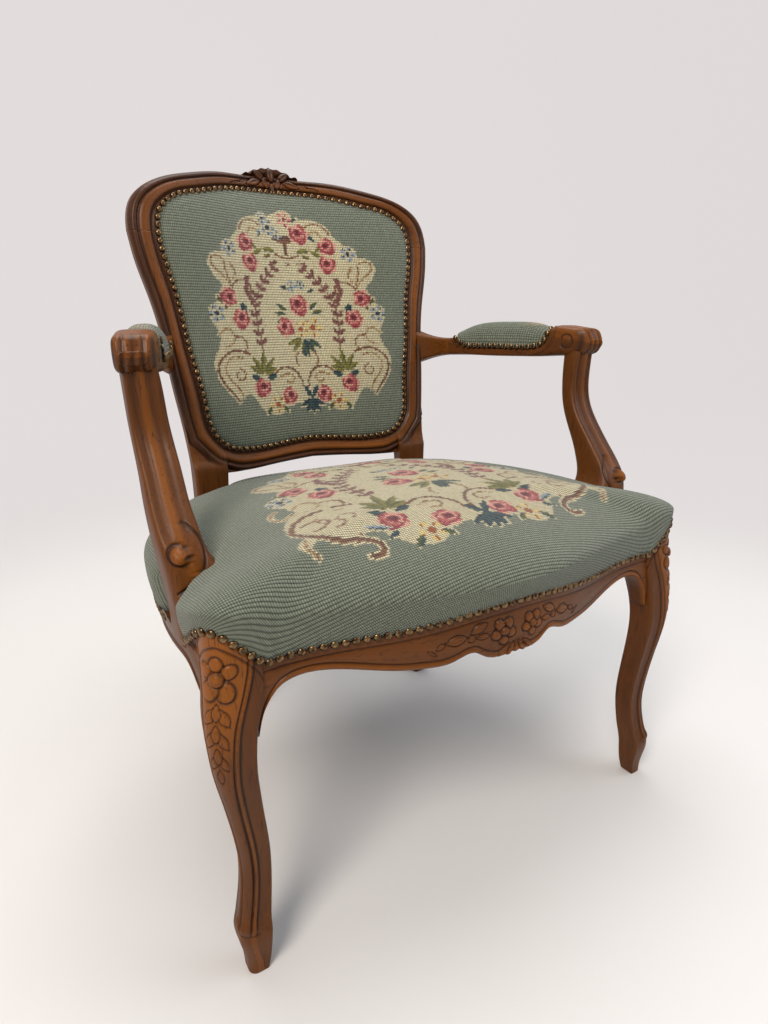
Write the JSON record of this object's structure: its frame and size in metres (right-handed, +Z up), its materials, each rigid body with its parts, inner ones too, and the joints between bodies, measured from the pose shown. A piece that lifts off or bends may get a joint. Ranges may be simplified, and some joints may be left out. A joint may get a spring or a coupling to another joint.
{
  "type": "upholstered open armchair",
  "caption": "Open armchair with cabriolet front legs, hollowed upholstered back, padded arms and a crowned needlepoint seat.",
  "frame": {"origin": "on the floor under the middle of the chair's outline", "axes": "+X to the right as seen from the front, +Y to the back of the chair, +Z up"},
  "size_m": [0.671, 0.6662, 0.879],
  "materials": {
    "wood": "stained and polished beech",
    "inner_wood": "plain planed beech",
    "needlepoint": "wool needlepoint",
    "back_cloth": "plain woven cotton",
    "stuffing": "hair and cotton felt",
    "hessian": "woven jute",
    "webbing": "jute webbing",
    "dust_cloth": "black cotton",
    "spring_steel": "coppered wire",
    "screw_steel": "plain"
  },
  "bodies": {
    "root": {"front_leg_right": "wood", "front_leg_left": "wood", "rear_leg_stile_right": "wood", "rear_leg_stile_left": "wood", "front_seat_rail": "wood", "side_seat_rail_right": "wood", "side_seat_rail_left": "wood", "rear_seat_rail": "wood", "crest_rail": "wood", "lower_back_rail": "wood", "arm_right": "wood", "arm_left": "wood", "arm_support_right": "wood", "arm_support_left": "wood", "front_corner_block_right": "inner_wood", "front_corner_block_left": "inner_wood", "rear_corner_block_right": "inner_wood", "rear_corner_block_left": "inner_wood", "corner_block_screws": "screw_steel", "seat_cover": "needlepoint", "seat_stuffing": "stuffing", "spring_hessian": "hessian", "seat_webbing": "webbing", "seat_springs": "spring_steel", "dust_cover": "dust_cloth", "back_cover": "needlepoint", "back_stuffing": "stuffing", "back_hessian": "hessian", "back_webbing": "webbing", "outside_back_cover": "back_cloth", "arm_pad_cover_right": "needlepoint", "arm_pad_cover_left": "needlepoint", "arm_pad_stuffing_right": "stuffing", "arm_pad_stuffing_left": "stuffing"}
  },
  "joints": []
}
